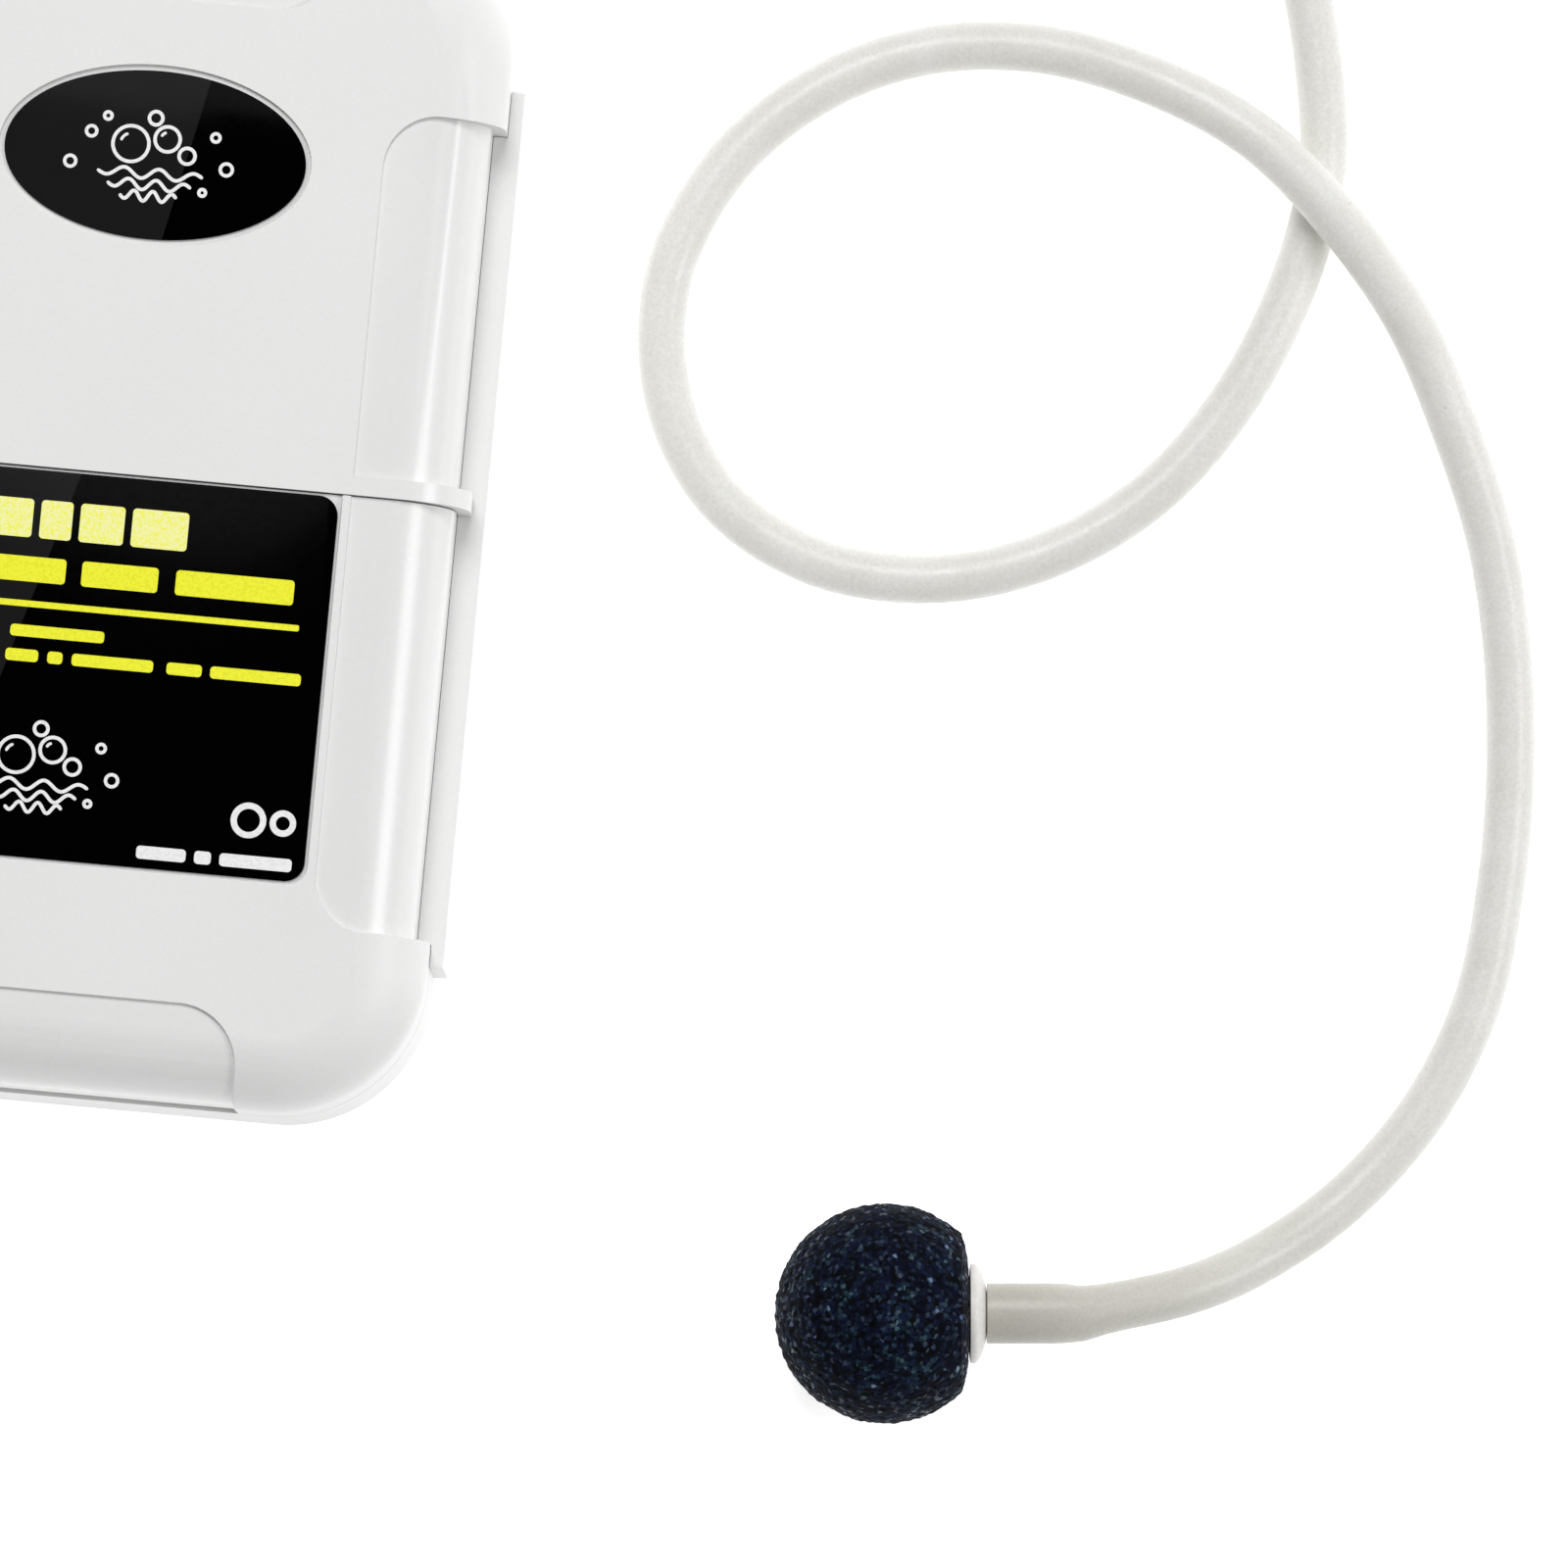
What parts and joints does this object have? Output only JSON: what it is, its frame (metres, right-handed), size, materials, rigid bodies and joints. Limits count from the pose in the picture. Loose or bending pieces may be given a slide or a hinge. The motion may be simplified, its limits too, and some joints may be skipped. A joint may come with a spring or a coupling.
{
  "type": "battery aquarium air pump",
  "caption": "Portable battery air pump in a flat rounded white case with sunken grip panels, a sliding battery door, a clear air hose and a dark ball air stone.",
  "frame": {"origin": "centre of the flat back face, on the surface that the pump lies on", "axes": "+X to the right of the front face, +Y towards the outlet end, +Z out of the front face"},
  "size_m": [0.215, 0.2459, 0.045],
  "materials": {
    "housing": "fine-grained moulded white ABS, slightly glossier on the sunken panels",
    "label": "glossy black printed film",
    "dark_plastic": "moulded black",
    "knob_plastic": "moulded black",
    "nylon": "natural nylon",
    "stem_plastic": "white moulded",
    "steel": "zinc-plated",
    "brass": "satin",
    "copper": "satin copper",
    "battery_jacket": "printed metal jacket",
    "ferrite": "sintered ferrite",
    "rubber": "black moulded rubber",
    "foam": "grey sponge",
    "silicone": "milky translucent tubing",
    "red_wire": "insulated wire",
    "black_wire": "insulated wire",
    "stone": "sintered mineral grains, dark blue-black"
  },
  "bodies": {
    "pump": {"rear_case": "housing", "front_cover": "housing", "bulkhead": "housing", "outlet_nipple": "housing", "oval_label": "label", "case_screw_1": "steel", "case_screw_2": "steel", "case_screw_3": "steel", "case_screw_4": "steel", "battery_1": "battery_jacket", "battery_2": "battery_jacket", "bridge_contact": "steel", "contact_positive": "steel", "contact_negative": "steel", "battery_spring_1": "steel", "battery_spring_2": "steel", "foam_pad": "foam", "pump_chassis": "dark_plastic", "motor_can": "steel", "motor_end_bell": "dark_plastic", "motor_terminal_1": "brass", "motor_terminal_2": "brass", "motor_magnet_1": "ferrite", "motor_magnet_2": "ferrite", "motor_bushing": "brass", "motor_clamp": "steel", "clamp_screw_1": "steel", "clamp_screw_2": "steel", "diaphragm_clevis": "nylon", "diaphragm": "rubber", "pump_chamber": "dark_plastic", "inlet_flap": "rubber", "outlet_flap": "rubber", "head_cover": "dark_plastic", "head_screw_1": "steel", "head_screw_2": "steel", "head_screw_3": "steel", "head_screw_4": "steel", "inner_tube": "silicone", "switch_body": "dark_plastic", "wire_positive": "red_wire", "wire_switch": "red_wire", "wire_negative": "black_wire", "air_hose": "silicone", "stone_stem": "stem_plastic", "air_stone": "stone"},
    "battery_door": {"battery_door": "housing", "door_label": "label"},
    "switch_knob": {"switch_knob": "knob_plastic"},
    "rotor": {"motor_shaft": "steel", "armature": "steel", "commutator": "copper", "crank_disc": "nylon", "crank_clip": "steel"},
    "connecting_rod": {"connecting_rod": "nylon"}
  },
  "joints": [
    {"name": "door_slide", "type": "slide", "parent": "pump", "child": "battery_door", "axis": [0, -1, 0], "range_m": [0, 0.078]},
    {"name": "switch_slide", "type": "slide", "parent": "pump", "child": "switch_knob", "axis": [1, 0, 0], "range_m": [0, 0.004]},
    {"name": "motor_spin", "type": "hinge", "parent": "pump", "child": "rotor", "pos_m": [0, 0.021, 0.019], "axis": [1, 0, 0], "continuous": true},
    {"name": "rod_pivot", "type": "hinge", "parent": "rotor", "child": "connecting_rod", "pos_m": [0.0085, 0.021, 0.0202], "axis": [1, 0, 0], "continuous": true}
  ],
  "couplings": [
    {"joint": "rod_pivot", "follows": "motor_spin", "ratio": -1}
  ]
}
